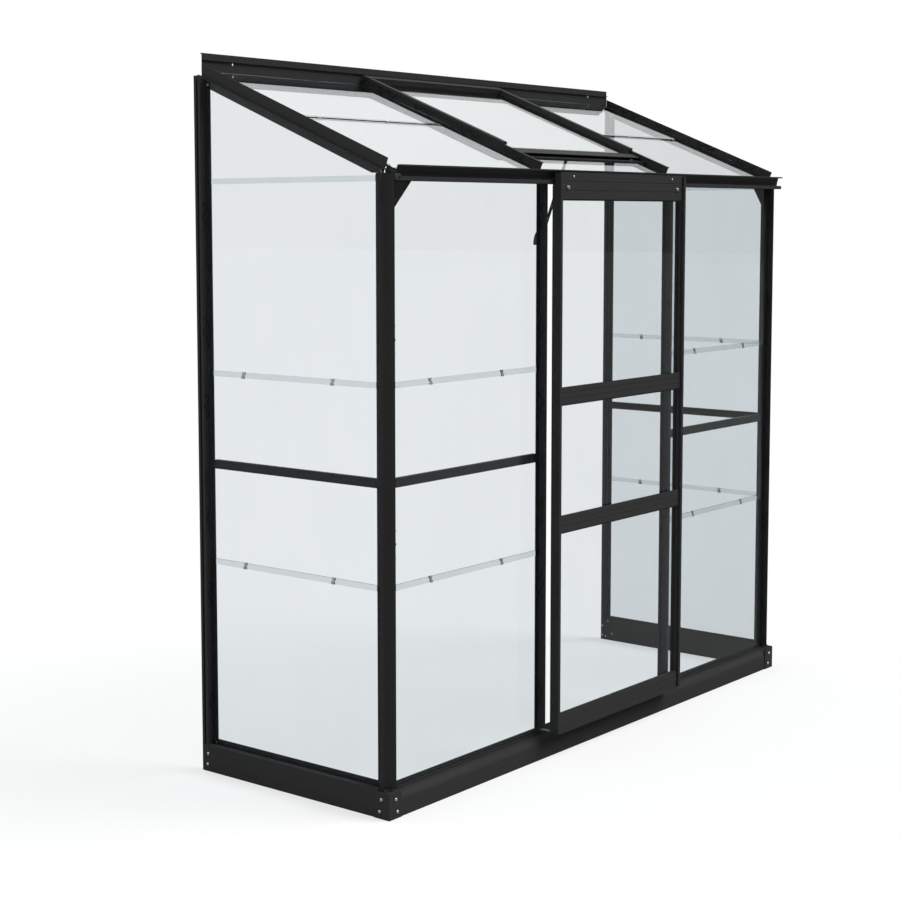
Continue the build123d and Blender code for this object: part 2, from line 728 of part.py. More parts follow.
# Vent stay: a flat bar that hangs from the vent's lower rail, leans to the wall and ends in a hook
stay_rise = vent_foot_rise + stay_thickness / 2
stay_top = roof_point(0, stay_rise, vent_slot)
stay_elbow = roof_point(0, stay_rise, roof_seat)
stay_end = (stay_elbow[1] + stay_reach, stay_elbow[2] - stay_drop)
with BuildPart() as vent_stay:
    with BuildSketch(Plane(origin=(-stay_width / 2, 0, 0), x_dir=(0, 1, 0), z_dir=(1, 0, 0))):
        with BuildLine():
            FilletPolyline(
                (stay_top[1], stay_top[2]),
                (stay_elbow[1], stay_elbow[2]),
                stay_end,
                (stay_end[0] - stay_hook, stay_end[1]),
                radius=stay_bend,
            )
        trace(line_width=stay_thickness)
    extrude(amount=stay_width)
    stay_fall = Vector(0, stay_reach, -stay_drop).normalized()
    for number in range(1, stay_hole_count + 1):
        hole_point = Vector(*stay_elbow) + stay_fall * (stay_hole_spacing * number)
        hole_plane = Plane(origin=hole_point, x_dir=(1, 0, 0), z_dir=stay_fall.cross(Vector(1, 0, 0)))
        with BuildSketch(hole_plane):
            Circle(stay_hole / 2)
        extrude(amount=overrun, both=True, mode=Mode.SUBTRACT)
save(vent_stay, "vent_stay")

# Door stiles: a lip at the outer edge, a slot for the glass and a hollow at the back; above the eave's
# underside only the part ahead of the track runs on, up to the top rail
stile_slot = stile_lip_height + stile_slot_set_back
stile_slot_floor = stile_width - stile_slot_depth
stile_head = door_top_rail_foot + door_top_rail_height - skin
stile_head_depth = door_projection - track_reach - door_head_gap
with BuildPart() as door_stile:
    with BuildSketch(Plane(origin=(-door_half, door_front_y, door_foot))):
        strip(0, stile_lip, 0, stile_lip_height)
        strip(0, stile_width, stile_lip_height, stile_depth)
        strip(stile_slot_floor, stile_width, stile_slot, stile_slot + slot_height, Mode.SUBTRACT)
        strip(skin, stile_width - skin, stile_depth - skin - stile_pocket, stile_depth - skin, Mode.SUBTRACT)
    extrude(amount=stile_top - door_foot)
    with BuildSketch(Plane(origin=(-door_half, door_front_y, stile_top))):
        strip(0, stile_lip, 0, stile_lip_height)
        strip(0, stile_width, stile_lip_height, stile_head_depth)
        strip(stile_slot_floor, stile_width, stile_slot, stile_slot + slot_height, Mode.SUBTRACT)
    extrude(amount=stile_head - stile_top)
save_pair(door_stile, "door_stile")

# Door rails: a face over the stiles, grooved along its length, and a channel between them
door_face_half = door_half - stile_lip - door_rail_side_gap
door_web_half = door_half - stile_width - butt_gap
door_rails = {
    "door_top_rail": (door_top_rail_foot, door_top_rail_height, door_top_rail_foot + door_top_web_set_in),
    "door_upper_transom": (
        upper_transom_foot,
        transom_height,
        upper_transom_foot + (transom_height - door_web_height) / 2,
    ),
    "door_lower_transom": (
        lower_transom_foot,
        transom_height,
        lower_transom_foot + (transom_height - door_web_height) / 2,
    ),
    "door_bottom_rail": (
        door_bottom_rail_foot,
        door_bottom_rail_height,
        door_bottom_rail_foot + door_bottom_web_set_in,
    ),
}
door_web_heights = {
    "door_top_rail": stile_top - door_top_rail_foot - door_top_web_set_in,
    "door_upper_transom": door_web_height,
    "door_lower_transom": door_web_height,
    "door_bottom_rail": door_bottom_rail_height - 2 * door_bottom_web_set_in,
}
face_groove_shares = (1 / 3, 2 / 3)
for name, (rail_z, height, web_z) in door_rails.items():
    web_height = door_web_heights[name]
    rail_y = rail_front_y - front_y
    web_y = rail_y + skin
    with BuildPart() as door_rail:
        with BuildSketch(along_plane(-door_face_half)):
            strip(rail_y, rail_y + skin - butt_gap, rail_z, rail_z + height)
            for share in face_groove_shares:
                groove_z = rail_z + height * share
                strip(
                    rail_y,
                    rail_y + face_groove_depth,
                    groove_z - face_groove / 2,
                    groove_z + face_groove / 2,
                    Mode.SUBTRACT,
                )
        extrude(amount=2 * door_face_half)
        with BuildSketch(along_plane(-door_web_half)):
            strip(web_y - butt_gap, web_y + door_web_depth, web_z, web_z + web_height)
            strip(web_y, web_y + door_web_depth, web_z + skin, web_z + web_height - skin, Mode.SUBTRACT)
        extrude(amount=2 * door_web_half)
    save(door_rail, name)

# Door panes, in the stiles' slots and between the rails' channels
door_pane_half = door_half - stile_width + stile_slot_depth - glass_gap
door_pane_y = door_front_y + stile_slot + glass_gap
door_pane_edges = [
    (door_rails[lower][2] + door_web_heights[lower] + glass_gap, door_rails[upper][2] - glass_gap)
    for lower, upper in (
        ("door_bottom_rail", "door_lower_transom"),
        ("door_lower_transom", "door_upper_transom"),
        ("door_upper_transom", "door_top_rail"),
    )
]
with BuildPart() as door_panes:
    for pane_foot, pane_head in door_pane_edges:
        with BuildSketch(Plane(origin=(0, door_pane_y, 0), x_dir=(1, 0, 0), z_dir=(0, -1, 0))):
            strip(-door_pane_half, door_pane_half, pane_foot, pane_head)
        extrude(amount=-glass)
save(door_panes, "door_panes")

# Rollers: grooved wheels on hubs behind the top rail, running on the track's rim
roller_z = track_rim_top + roller_gap + roller_radius
roller_y = -track_reach + skin / 2
roller_hub_y = rail_front_y - front_y + skin
roller_centre = (roller_spacing / 2, front_y, roller_z)
with BuildPart() as door_rollers:
    with BuildSketch(Plane(origin=roller_centre, x_dir=(0, 1, 0), z_dir=(-1, 0, 0))):
        strip(roller_y - roller_width / 2, roller_y + roller_width / 2, 0, roller_radius + roller_flange)
        strip(
            roller_y - roller_groove / 2,
            roller_y + roller_groove / 2,
            roller_radius,
            roller_radius + roller_flange,
            Mode.SUBTRACT,
        )
        strip(roller_hub_y, roller_y, 0, roller_hub_radius)
    revolve(axis=Axis(roller_centre, (0, 1, 0)))
    mirror(about=Plane.YZ)
save(door_rollers, "door_rollers")

# Guides: shoes under the stiles with a tooth down into the front sill's groove
guide_top = door_foot - guide_gap
guide_bottom = guide_top - guide_thickness
tooth_y = (groove_front + groove_back) / 2
guide_start = rail_front_y - front_y + skin
with BuildPart() as door_guides:
    with BuildSketch(along_plane(-door_half)):
        strip(guide_start, tooth_y + guide_tooth / 2, guide_bottom, guide_top)
        strip(tooth_y - guide_tooth / 2, tooth_y + guide_tooth / 2, guide_bottom - guide_drop, guide_top)
    extrude(amount=guide_width)
    mirror(about=Plane.YZ)
save(door_guides, "door_guides")
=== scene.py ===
"""Dress the lean-to greenhouse: its finishes, its screws, clips, plugs and strips, and a plain studio."""

import json
from math import atan2, cos, degrees, pi, radians, sin, tan

import bmesh
import bpy
from mathutils import Matrix, Vector


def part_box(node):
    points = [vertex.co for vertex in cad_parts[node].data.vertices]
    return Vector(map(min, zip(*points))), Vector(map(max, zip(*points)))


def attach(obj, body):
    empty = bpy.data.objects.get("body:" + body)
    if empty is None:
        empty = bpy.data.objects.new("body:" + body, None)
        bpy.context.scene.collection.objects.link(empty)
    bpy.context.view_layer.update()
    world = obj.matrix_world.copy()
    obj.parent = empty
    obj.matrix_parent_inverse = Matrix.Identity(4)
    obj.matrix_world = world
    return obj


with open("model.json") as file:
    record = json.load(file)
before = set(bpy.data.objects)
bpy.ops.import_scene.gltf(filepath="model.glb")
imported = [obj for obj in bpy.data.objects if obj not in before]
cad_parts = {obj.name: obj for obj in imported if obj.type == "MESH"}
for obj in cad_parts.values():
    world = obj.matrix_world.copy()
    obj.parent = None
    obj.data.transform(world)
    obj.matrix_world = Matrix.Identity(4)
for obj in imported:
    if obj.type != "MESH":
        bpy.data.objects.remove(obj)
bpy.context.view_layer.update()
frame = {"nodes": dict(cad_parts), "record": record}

scene = bpy.context.scene
scene.view_settings.view_transform = "Standard"

mm = 0.001
left = Vector((-1, 0, 0))
right = -left
front = Vector((0, -1, 0))
back = -front
up = Vector((0, 0, 1))

# Sizes that the part's source gives, in mm
sill_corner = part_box("front_sill")[0]
roof_pitch = radians(22.1)
rafter_foot = 27.3  # foot of the roof's datum slope, behind the sill's front face
rafter_foot_height = 1571.1
roof_seat = 12.0  # underside of the roof glass, above the datum slope
front_seat = 23.0  # back of the front glass, behind the sill's front face
side_seat = 21.5  # back of the side glass, inside the sill's outer face
gable_skin = 2.0  # of the gable rafters and the wall posts' flanges
glass = 3.0
glass_gap = 0.3
pane_height = 508.0
pane_lap = 14.0
pane_feet = (64.0, 558.0, 1052.0)
roof_lap_rise = 325.0
slope_up = Vector((0, cos(roof_pitch), sin(roof_pitch)))
slope_out = Vector((0, -sin(roof_pitch), cos(roof_pitch)))


def spot(x, y, z):
    """Point in mm from the left front corner of the sills."""
    return sill_corner + Vector((x, y, z)) * mm


def roof_spot(x, rise, lift):
    """Point in mm from the left end of the sills, up the slope and above the datum slope."""
    foot = spot(x, rafter_foot, rafter_foot_height)
    return foot + slope_up * (rise * mm) + slope_out * (lift * mm)


# Shader helpers

# Sockets of a Mix node in its colour mode
mix_share = 0
mix_first = 6
mix_second = 7
mix_result = 2


def link(tree, source, target):
    """Join an output socket to an input socket."""
    tree.links.new(source, target)


def feed(tree, value, target):
    """Give a socket a number, or link an output socket to it."""
    if isinstance(value, (int, float)):
        target.default_value = value
    else:
        link(tree, value, target)


def math_node(tree, operation, first, second):
    """Place a Math node; each value is a number or an output socket."""
    node = tree.nodes.new("ShaderNodeMath")
    node.operation = operation
    feed(tree, first, node.inputs[0])
    feed(tree, second, node.inputs[1])
    return node.outputs[0]


def blend_values(tree, first, second, share):
    """Mix two values; share is how much of the second."""
    node = tree.nodes.new("ShaderNodeMix")
    node.inputs["Factor"].default_value = share
    link(tree, first, node.inputs["A"])
    link(tree, second, node.inputs["B"])
    return node.outputs["Result"]


def spread(tree, value, low, high, smooth=False, start=0.0, end=1.0):
    """Map a value that runs from start to end onto the range from low to high."""
    node = tree.nodes.new("ShaderNodeMapRange")
    node.interpolation_type = "SMOOTHSTEP" if smooth else "LINEAR"
    link(tree, value, node.inputs["Value"])
    node.inputs["From Min"].default_value = start
    node.inputs["From Max"].default_value = end
    node.inputs["To Min"].default_value = low
    node.inputs["To Max"].default_value = high
    return node.outputs["Result"]


def tint(tree, share, first, second):
    """Mix two grey or coloured tones, the first a colour or an output socket."""
    node = tree.nodes.new("ShaderNodeMix")
    node.data_type = "RGBA"
    link(tree, share, node.inputs[mix_share])
    if isinstance(first, tuple):
        node.inputs[mix_first].default_value = (*first, 1.0)
    else:
        link(tree, first, node.inputs[mix_first])
    node.inputs[mix_second].default_value = (*second, 1.0)
    return node.outputs[mix_result]


def noise(tree, vector, scale, detail):
    """Place a Noise texture and return its value."""
    node = tree.nodes.new("ShaderNodeTexNoise")
    node.inputs["Scale"].default_value = scale
    node.inputs["Detail"].default_value = detail
    link(tree, vector, node.inputs["Vector"])
    return node.outputs["Fac"]


def stretched(tree, vector, factors):
    """Scale a vector along its three axes."""
    node = tree.nodes.new("ShaderNodeVectorMath")
    node.operation = "MULTIPLY"
    link(tree, vector, node.inputs[0])
    node.inputs[1].default_value = factors
    return node.outputs["Vector"]


def node_group(name, inputs, outputs):
    """Start a shader node group; its sockets are given as names and kinds."""
    group = bpy.data.node_groups.new(name, "ShaderNodeTree")
    for way, sockets in (("INPUT", inputs), ("OUTPUT", outputs)):
        for socket, kind in sockets.items():
            group.interface.new_socket(name=socket, in_out=way, socket_type=f"NodeSocket{kind}")
    return group, group.nodes.new("NodeGroupInput").outputs, group.nodes.new("NodeGroupOutput").inputs


def placed_group(tree, group):
    """Place a node group in a material."""
    node = tree.nodes.new("ShaderNodeGroup")
    node.node_tree = group
    return node


# Shared surface effects


def soft_edge_group():
    """Rounded normals along sharp edges, and a mask of those edges."""
    full_edge = 0.82  # cosine between the rounded and the flat normal at the very edge
    group, given, out = node_group("soft_edge", {"Radius": "Float"}, {"Normal": "Vector", "Edge": "Float"})
    rounding = group.nodes.new("ShaderNodeBevel")
    rounding.samples = 4
    link(group, given["Radius"], rounding.inputs["Radius"])
    plain = group.nodes.new("ShaderNodeNewGeometry")
    turned = group.nodes.new("ShaderNodeVectorMath")
    turned.operation = "DOT_PRODUCT"
    link(group, rounding.outputs["Normal"], turned.inputs[0])
    link(group, plain.outputs["Normal"], turned.inputs[1])
    link(group, rounding.outputs["Normal"], out["Normal"])
    link(group, spread(group, turned.outputs["Value"], low=1.0, high=0.0, start=full_edge), out["Edge"])
    return group


def coat_grain_group():
    """Die lines along an extrusion, the powder's fine grain and a slow change of gloss."""
    group, given, out = node_group(
        "coat_grain",
        {"Place": "Vector", "Run": "Vector"},
        {"Tone": "Float", "Gloss": "Float", "Height": "Float"},
    )
    line_scales = (2.0, 420.0, 420.0)  # long along the extrusion, fine across it
    die_lines = noise(group, stretched(group, given["Run"], line_scales), scale=1.0, detail=2.0)
    powder = noise(group, given["Place"], scale=1100.0, detail=1.0)
    clouds = noise(group, given["Place"], scale=6.0, detail=3.0)
    link(group, blend_values(group, die_lines, clouds, share=0.45), out["Tone"])
    link(group, blend_values(group, clouds, powder, share=0.4), out["Gloss"])
    link(group, blend_values(group, powder, die_lines, share=0.35), out["Height"])
    return group


soft_edge = soft_edge_group()
coat_grain = coat_grain_group()
relief_depth = 0.2 * mm


def principled(name):
    """Start a material and return it with its tree and its Principled shader."""
    made = bpy.data.materials.new(name)
    made.use_nodes = True
    return made, made.node_tree, made.node_tree.nodes["Principled BSDF"]


def object_place(tree):
    """Object coordinates, in metres."""
    return tree.nodes.new("ShaderNodeTexCoord").outputs["Object"]


def grained(tree, shader, tilt, turn, edge_radius, bump):
    """Grain and soft edges on a shader; its Normal is linked, and the grain and the edge mask come back."""
    place = object_place(tree)
    run = tree.nodes.new("ShaderNodeMapping")
    run.vector_type = "TEXTURE"
    run.inputs["Rotation"].default_value = (0.0, -tilt, turn)
    link(tree, place, run.inputs["Vector"])
    grain = placed_group(tree, coat_grain)
    link(tree, place, grain.inputs["Place"])
    link(tree, run.outputs["Vector"], grain.inputs["Run"])
    edge = placed_group(tree, soft_edge)
    edge.inputs["Radius"].default_value = edge_radius
    relief = tree.nodes.new("ShaderNodeBump")
    relief.inputs["Strength"].default_value = bump
    relief.inputs["Distance"].default_value = relief_depth
    link(tree, grain.outputs["Height"], relief.inputs["Height"])
    link(tree, edge.outputs["Normal"], relief.inputs["Normal"])
    link(tree, relief.outputs["Normal"], shader.inputs["Normal"])
    return grain.outputs, edge.outputs["Edge"]


def grained_finish(
    name, pattern, tones, painted_highlight_tone, painted_highlight_share, roughness, edge_radius, bump, tilt=0.0, turn=0.0
):
    """Finish whose tone and gloss follow the grain, with a painted highlight that makes it paler along its
    edges; its shader comes with it.
    """
    made, tree, shader = principled(name)
    grain, edge = grained(tree, shader, tilt, turn, edge_radius, bump)
    tone = tint(tree, grain[pattern], *tones)
    # Painted highlight: along the sharp edges the base colour is mixed toward a paler tone.
    painted_highlight = math_node(tree, "MULTIPLY", edge, painted_highlight_share)
    link(tree, tint(tree, painted_highlight, tone, painted_highlight_tone), shader.inputs["Base Color"])
    link(tree, spread(tree, grain["Gloss"], *roughness), shader.inputs["Roughness"])
    return made, shader


def black_coat(name, tilt, turn):
    """Satin black powder coat over an extrusion that runs in one direction."""
    made, shader = grained_finish(
        name,
        pattern="Tone",
        tones=((0.035, 0.035, 0.0355), (0.047, 0.047, 0.0477)),
        # Paler grey painted along the edges as a highlight
        painted_highlight_tone=(0.09, 0.09, 0.091),
        painted_highlight_share=0.3,
        roughness=(0.50, 0.66),
        edge_radius=0.9 * mm,
        bump=0.25,
        tilt=tilt,
        turn=turn,
    )
    shader.inputs["Specular IOR Level"].default_value = 0.06
    return made


def black_wire():
    """Blackened spring wire of the glazing clips."""
    made, shader = grained_finish(
        "black_spring_wire",
        pattern="Tone",
        tones=((0.003, 0.003, 0.0031), (0.006, 0.006, 0.0061)),
        # Paler tone painted along the edges as a highlight
        painted_highlight_tone=(0.02, 0.02, 0.02),
        painted_highlight_share=0.1,
        roughness=(0.4, 0.6),
        edge_radius=0.2 * mm,
        bump=0.15,
    )
    shader.inputs["Specular IOR Level"].default_value = 0.15
    return made


def black_nylon():
    """Moulded nylon of the rollers, the guides, the stop, the caps and the grip."""
    return grained_finish(
        "moulded_black_nylon",
        pattern="Gloss",
        tones=((0.015, 0.015, 0.015), (0.026, 0.026, 0.027)),
        painted_highlight_tone=(0.07, 0.07, 0.07),
        # Paler tone painted along the edges as a highlight
        painted_highlight_share=0.25,
        roughness=(0.42, 0.56),
        edge_radius=0.4 * mm,
        bump=0.12,
    )[0]


def black_rubber():
    """Dull rubber of the glazing strips and the plugs."""
    made, shader = grained_finish(
        "black_glazing_rubber",
        pattern="Gloss",
        tones=((0.006, 0.006, 0.006), (0.012, 0.012, 0.0122)),
        # Paler tone painted along the edges as a highlight
        painted_highlight_tone=(0.035, 0.035, 0.035),
        painted_highlight_share=0.15,
        roughness=(0.62, 0.8),
        edge_radius=0.4 * mm,
        bump=0.3,
    )
    shader.inputs["Specular IOR Level"].default_value = 0.3
    return made


def zinc_steel():
    """Bright zinc plating on the screws, nuts and lap clips."""
    made, shader = grained_finish(
        "bright_zinc_steel",
        pattern="Gloss",
        tones=((0.6, 0.6, 0.59), (0.76, 0.76, 0.74)),
        # Near-white painted along the edges as a highlight
        painted_highlight_tone=(0.88, 0.88, 0.87),
        painted_highlight_share=0.5,
        roughness=(0.22, 0.42),
        edge_radius=0.25 * mm,
        bump=0.2,
    )
    shader.inputs["Metallic"].default_value = 1.0
    return made


def clear_glass():
    """Clear float glass with a thin dried film; shadows and bounced light pass straight through it."""
    made, tree, shader = principled("clear_float_glass")
    place = object_place(tree)
    streak_scales = (26.0, 26.0, 2.2)  # fine across the pane, long down it
    streaks = noise(tree, stretched(tree, place, streak_scales), scale=1.0, detail=3.0)
    clouds = noise(tree, place, scale=4.0, detail=3.0)
    film = blend_values(tree, streaks, clouds, share=0.6)
    filmed = (0.752, 0.785, 0.80)
    clean = (0.80, 0.83, 0.843)
    link(tree, tint(tree, film, filmed, clean), shader.inputs["Base Color"])
    shader.inputs["Roughness"].default_value = 0.0
    shader.inputs["IOR"].default_value = 1.25
    shader.inputs["Transmission Weight"].default_value = 1.0
    path = tree.nodes.new("ShaderNodeLightPath")
    let_through = math_node(tree, "MAXIMUM", path.outputs["Is Shadow Ray"], path.outputs["Is Diffuse Ray"])
    clear = tree.nodes.new("ShaderNodeBsdfTransparent")
    clear.inputs["Color"].default_value = (0.86, 0.9, 0.905, 1.0)
    mix = tree.nodes.new("ShaderNodeMixShader")
    link(tree, let_through, mix.inputs[0])
    link(tree, shader.outputs[0], mix.inputs[1])
    link(tree, clear.outputs[0], mix.inputs[2])
    link(tree, mix.outputs[0], tree.nodes["Material Output"].inputs["Surface"])
    return made


# Finishes on the CAD pieces; a coat follows the direction that its extrusion runs in
coat_along = {
    "x": black_coat("black_coat_along_x", 0.0, 0.0),
    "y": black_coat("black_coat_along_y", 0.0, pi / 2),
    "z": black_coat("black_coat_along_z", pi / 2, 0.0),
    "slope": black_coat("black_coat_along_slope", roof_pitch, pi / 2),
}
runs = {
    "y": ("left_sill", "right_sill", "side_rail"),
    "z": ("post", "door_stile"),
    "slope": ("rafter", "roof_bar", "vent_stile"),
}
nylon = black_nylon()
plain_finishes = {"clear_glass": clear_glass(), "black_nylon": nylon}
node_slots = {row["node"]: row["material_slot"] for row in frame["record"]["subparts"]}
for name, node in frame["nodes"].items():
    finish = plain_finishes.get(node_slots[name], coat_along["x"])
    if node_slots[name] == "black_frame":
        for run, endings in runs.items():
            if name.endswith(endings):
                finish = coat_along[run]
    node.data.materials.clear()
    node.data.materials.append(finish)

steel = zinc_steel()
wire = black_wire()
rubber = black_rubber()


# Shapes of the fasteners: Z points out of the face that they sit on, and Y along the member

sink = 0.3 * mm  # how far a fastener reaches into that face
merge_reach = 0.001 * mm
level_reach = 0.01 * mm  # how near to a height an edge lies to count as at it
round_sides = 24
bolt_sides = 16
hexagon_sides = 6
wire_sides = 6
crease = radians(38)  # edges that turn more than this stay sharp


def shape_mesh(name, work):
    """Keep a worked shape as a mesh to copy from."""
    bmesh.ops.remove_doubles(work, verts=work.verts, dist=merge_reach)
    bmesh.ops.recalc_face_normals(work, faces=work.faces)
    mesh = bpy.data.meshes.new(name)
    work.to_mesh(mesh)
    work.free()
    return mesh


def edges_at(work, height):
    """Edges that lie at a height."""
    return [edge for edge in work.edges if all(abs(vert.co.z - height) < level_reach for vert in edge.verts)]


def new_verts(made):
    """Vertices among the geometry that an operator made."""
    return [item for item in made["geom"] if isinstance(item, bmesh.types.BMVert)]


def round_edges(work, edges, radius, steps):
    """Round some edges."""
    bmesh.ops.bevel(
        work,
        geom=edges,
        offset=radius,
        affect="EDGES",
        segments=steps,
        profile=0.5,
        material=-1,
    )


def add_drum(work, radius, sides, foot, head, rounding, steps):
    """Add a drum that stands along Z from its foot to its head, with the rim of its head rounded."""
    bmesh.ops.create_cone(
        work,
        cap_ends=True,
        segments=sides,
        radius1=radius,
        radius2=radius,
        depth=head - foot,
        matrix=Matrix.Translation((0.0, 0.0, (foot + head) / 2)),
    )
    round_edges(work, edges_at(work, head), rounding, steps)


def facing(place, out, along):
    """Matrix that sets a shape at a place, with its Z outwards and its Y along the member."""
    out = out.normalized()
    side = along.cross(out).normalized()
    turn = Matrix((side, out.cross(side), out)).transposed()
    return Matrix.Translation(place) @ turn.to_4x4()


def pan_screw_shape(name, radius, height):
    """Domed screw head with a cross recess."""
    work = bmesh.new()
    dome = ((1.0, 0.35), (0.89, 0.76), (0.66, 1.0))  # shares of the radius and the height
    profile = [(radius, -sink)] + [(reach * radius, rise * height) for reach, rise in dome]
    verts = [work.verts.new((reach, 0.0, rise)) for reach, rise in profile]
    edges = [work.edges.new(pair) for pair in zip(verts, verts[1:])]
    bmesh.ops.spin(work, geom=verts + edges, axis=up, angle=2 * pi, steps=round_sides, use_merge=True)
    bmesh.ops.edgeloop_fill(work, edges=edges_at(work, -sink))
    top = bmesh.ops.edgeloop_fill(work, edges=edges_at(work, height))["faces"][0]
    rim_width = 0.1 * radius
    bmesh.ops.inset_region(work, faces=[top], thickness=rim_width)
    arm_step = 90  # degrees from one arm of the cross to the next
    pulled_in = ((40, 0.36), (20, 0.52))  # beyond this angle from an arm, to this share
    for vert in top.verts:
        from_arm = abs((degrees(atan2(vert.co.y, vert.co.x)) + arm_step / 2) % arm_step - arm_step / 2)
        vert.co.xy *= next((share for angle, share in pulled_in if from_arm > angle), 1.0)
    recess_depth = 0.6 * height
    recess_taper = 0.7
    sunk_verts = new_verts(bmesh.ops.extrude_face_region(work, geom=[top]))
    bmesh.ops.translate(work, verts=sunk_verts, vec=(0.0, 0.0, -recess_depth))
    bmesh.ops.scale(work, verts=sunk_verts, vec=(recess_taper, recess_taper, 1.0))
    return shape_mesh(name, work)


def nut_shape(name, across, height, bolt_end):
    """Hexagon on a washer; with a bolt's end standing out of it, it is a nut."""
    work = bmesh.new()
    washer = 1.1 * mm
    head = washer + height
    washer_radius = 0.62 * across
    hexagon_radius = across / (2 * cos(pi / hexagon_sides))
    bolt_radius = 0.3 * across
    add_drum(work, washer_radius, round_sides, -sink, washer, rounding=0.25 * mm, steps=2)
    add_drum(work, hexagon_radius, hexagon_sides, washer, head, rounding=0.6 * mm, steps=2)
    if bolt_end:
        add_drum(work, bolt_radius, bolt_sides, head - bolt_end, head + bolt_end, rounding=0.5 * mm, steps=1)
    return shape_mesh(name, work)


def wire_clip_shape(name):
    """Spring wire bent into a W between the glass and the head of the bar."""
    wire_radius = 0.85 * mm
    reach = 14.6
    shoulder = reach - 1.1
    bends = (  # along the bar and out of the glass, in mm
        (-34.0, reach), (-24.6, 2.2), (-23.0, 0.9), (-21.2, 2.0),
        (-2.0, shoulder), (0.0, reach), (2.0, shoulder),
        (21.2, 2.0), (23.0, 0.9), (24.6, 2.2), (34.0, reach),
    )
    path = [Vector((0.0, along * mm, rise * mm)) for along, rise in bends]
    work = bmesh.new()
    rings = []
    for number, point in enumerate(path):
        ahead = path[min(number + 1, len(path) - 1)] - path[max(number - 1, 0)]
        ring = bmesh.ops.create_circle(
            work,
            cap_ends=False,
            segments=wire_sides,
            radius=wire_radius,
            matrix=facing(point, ahead, left),
        )
        rings.append(list(dict.fromkeys(edge for vert in ring["verts"] for edge in vert.link_edges)))
    for lower, upper in zip(rings, rings[1:]):
        bmesh.ops.bridge_loops(work, edges=lower + upper)
    for end in (rings[0], rings[-1]):
        bmesh.ops.edgeloop_fill(work, edges=end)
    return shape_mesh(name, work)


def lap_clip_shape(name):
    """Metal strip bent into an S: over the head of the lower pane and under the foot of the upper one."""
    width = 9.5
    thickness = 0.14 * mm
    bend_radius = 1.1 * mm
    tail = 6.0  # length of each hooked end
    hook = 1.4  # how far the bends stand off the edges of the glass
    behind = -0.7
    between = glass + 0.1
    outside = 2 * glass + glass_gap + 0.9
    bends = (  # up the panes and out of the seat, in mm
        (pane_lap - tail, behind), (pane_lap + hook, behind), (pane_lap + hook, between),
        (-hook, between), (-hook, outside), (tail, outside),
    )
    work = bmesh.new()
    verts = [work.verts.new((-width / 2 * mm, along * mm, rise * mm)) for along, rise in bends]
    edges = [work.edges.new(pair) for pair in zip(verts, verts[1:])]
    drawn_verts = new_verts(bmesh.ops.extrude_edge_only(work, edges=edges))
    bmesh.ops.translate(work, verts=drawn_verts, vec=(width * mm, 0.0, 0.0))
    round_edges(work, [edge for edge in work.edges if len(edge.link_faces) == 2], bend_radius, steps=2)
    bmesh.ops.recalc_face_normals(work, faces=work.faces)
    bmesh.ops.solidify(work, geom=work.faces[:], thickness=thickness)
    return shape_mesh(name, work)


def add_block(work, low, high, rounding):
    """Add a block between two corners, with its edges rounded."""
    size = high - low
    place = Matrix.Translation((low + high) / 2) @ Matrix.Diagonal((*size, 1.0))
    made = bmesh.ops.create_cube(work, size=1.0, matrix=place)["verts"]
    edges = list(dict.fromkeys(edge for vert in made for edge in vert.link_edges))
    round_edges(work, edges, rounding, steps=2)


def add_prism(work, outline, drawn):
    """Add a prism: an outline of points and how far it is drawn."""
    foot = work.faces.new([work.verts.new(point) for point in outline])
    far_verts = new_verts(bmesh.ops.extrude_face_region(work, geom=[foot]))
    bmesh.ops.translate(work, verts=far_verts, vec=drawn)
    bmesh.ops.recalc_face_normals(work, faces=work.faces)


def mirror_across(work):
    """Add the mirror image of everything on the other side of the middle."""
    bmesh.ops.mirror(work, geom=work.verts[:] + work.edges[:] + work.faces[:], axis="X", merge_dist=0.0)
    bmesh.ops.recalc_face_normals(work, faces=work.faces)


def add_piece(name, work, body, finish):
    """Make a worked shape a piece that rides on a body."""
    mesh = bpy.data.meshes.new(name)
    work.to_mesh(mesh)
    work.free()
    mesh.shade_smooth()
    mesh.set_sharp_from_angle(angle=crease)
    mesh.materials.append(finish)
    piece = bpy.data.objects.new(name, mesh)
    scene.collection.objects.link(piece)
    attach(piece, body)


def add_copies(name, shape, places, body, finish):
    """Join copies of a shape into one piece that rides on a body."""
    work = bmesh.new()
    for place in places:
        made = len(work.verts)
        work.from_mesh(shape)
        work.verts.ensure_lookup_table()
        bmesh.ops.transform(work, matrix=place, verts=work.verts[made:])
    add_piece(name, work, body, finish)


def both_ends(places):
    """Places on the left, and their mirror images on the right."""
    flip = Matrix.Diagonal((-1.0, 1.0, 1.0, 1.0))
    return places + [flip @ place @ flip for place in places]


def add_fixings(name, shape, places, body="frame"):
    """Zinc-plated fixings at places on the left, and at their mirror images on the right."""
    add_copies(name, shape, both_ends(places), body, steel)


def add_wire_clips(name, places):
    """Wire clips at places on the left, and at their mirror images on the right."""
    add_copies(name, wire_clip, both_ends(places), "frame", wire)


pan_screw = pan_screw_shape("pan_screw", radius=4.5 * mm, height=2.7 * mm)
small_screw = pan_screw_shape("small_screw", radius=3.0 * mm, height=1.9 * mm)
nut = nut_shape("nut", across=10.0 * mm, height=5.0 * mm, bolt_end=2.4 * mm)
bolt_head = nut_shape("bolt_head", across=8.0 * mm, height=3.4 * mm, bolt_end=0.0)
wire_clip = wire_clip_shape("wire_clip")
lap_clip = lap_clip_shape("lap_clip")

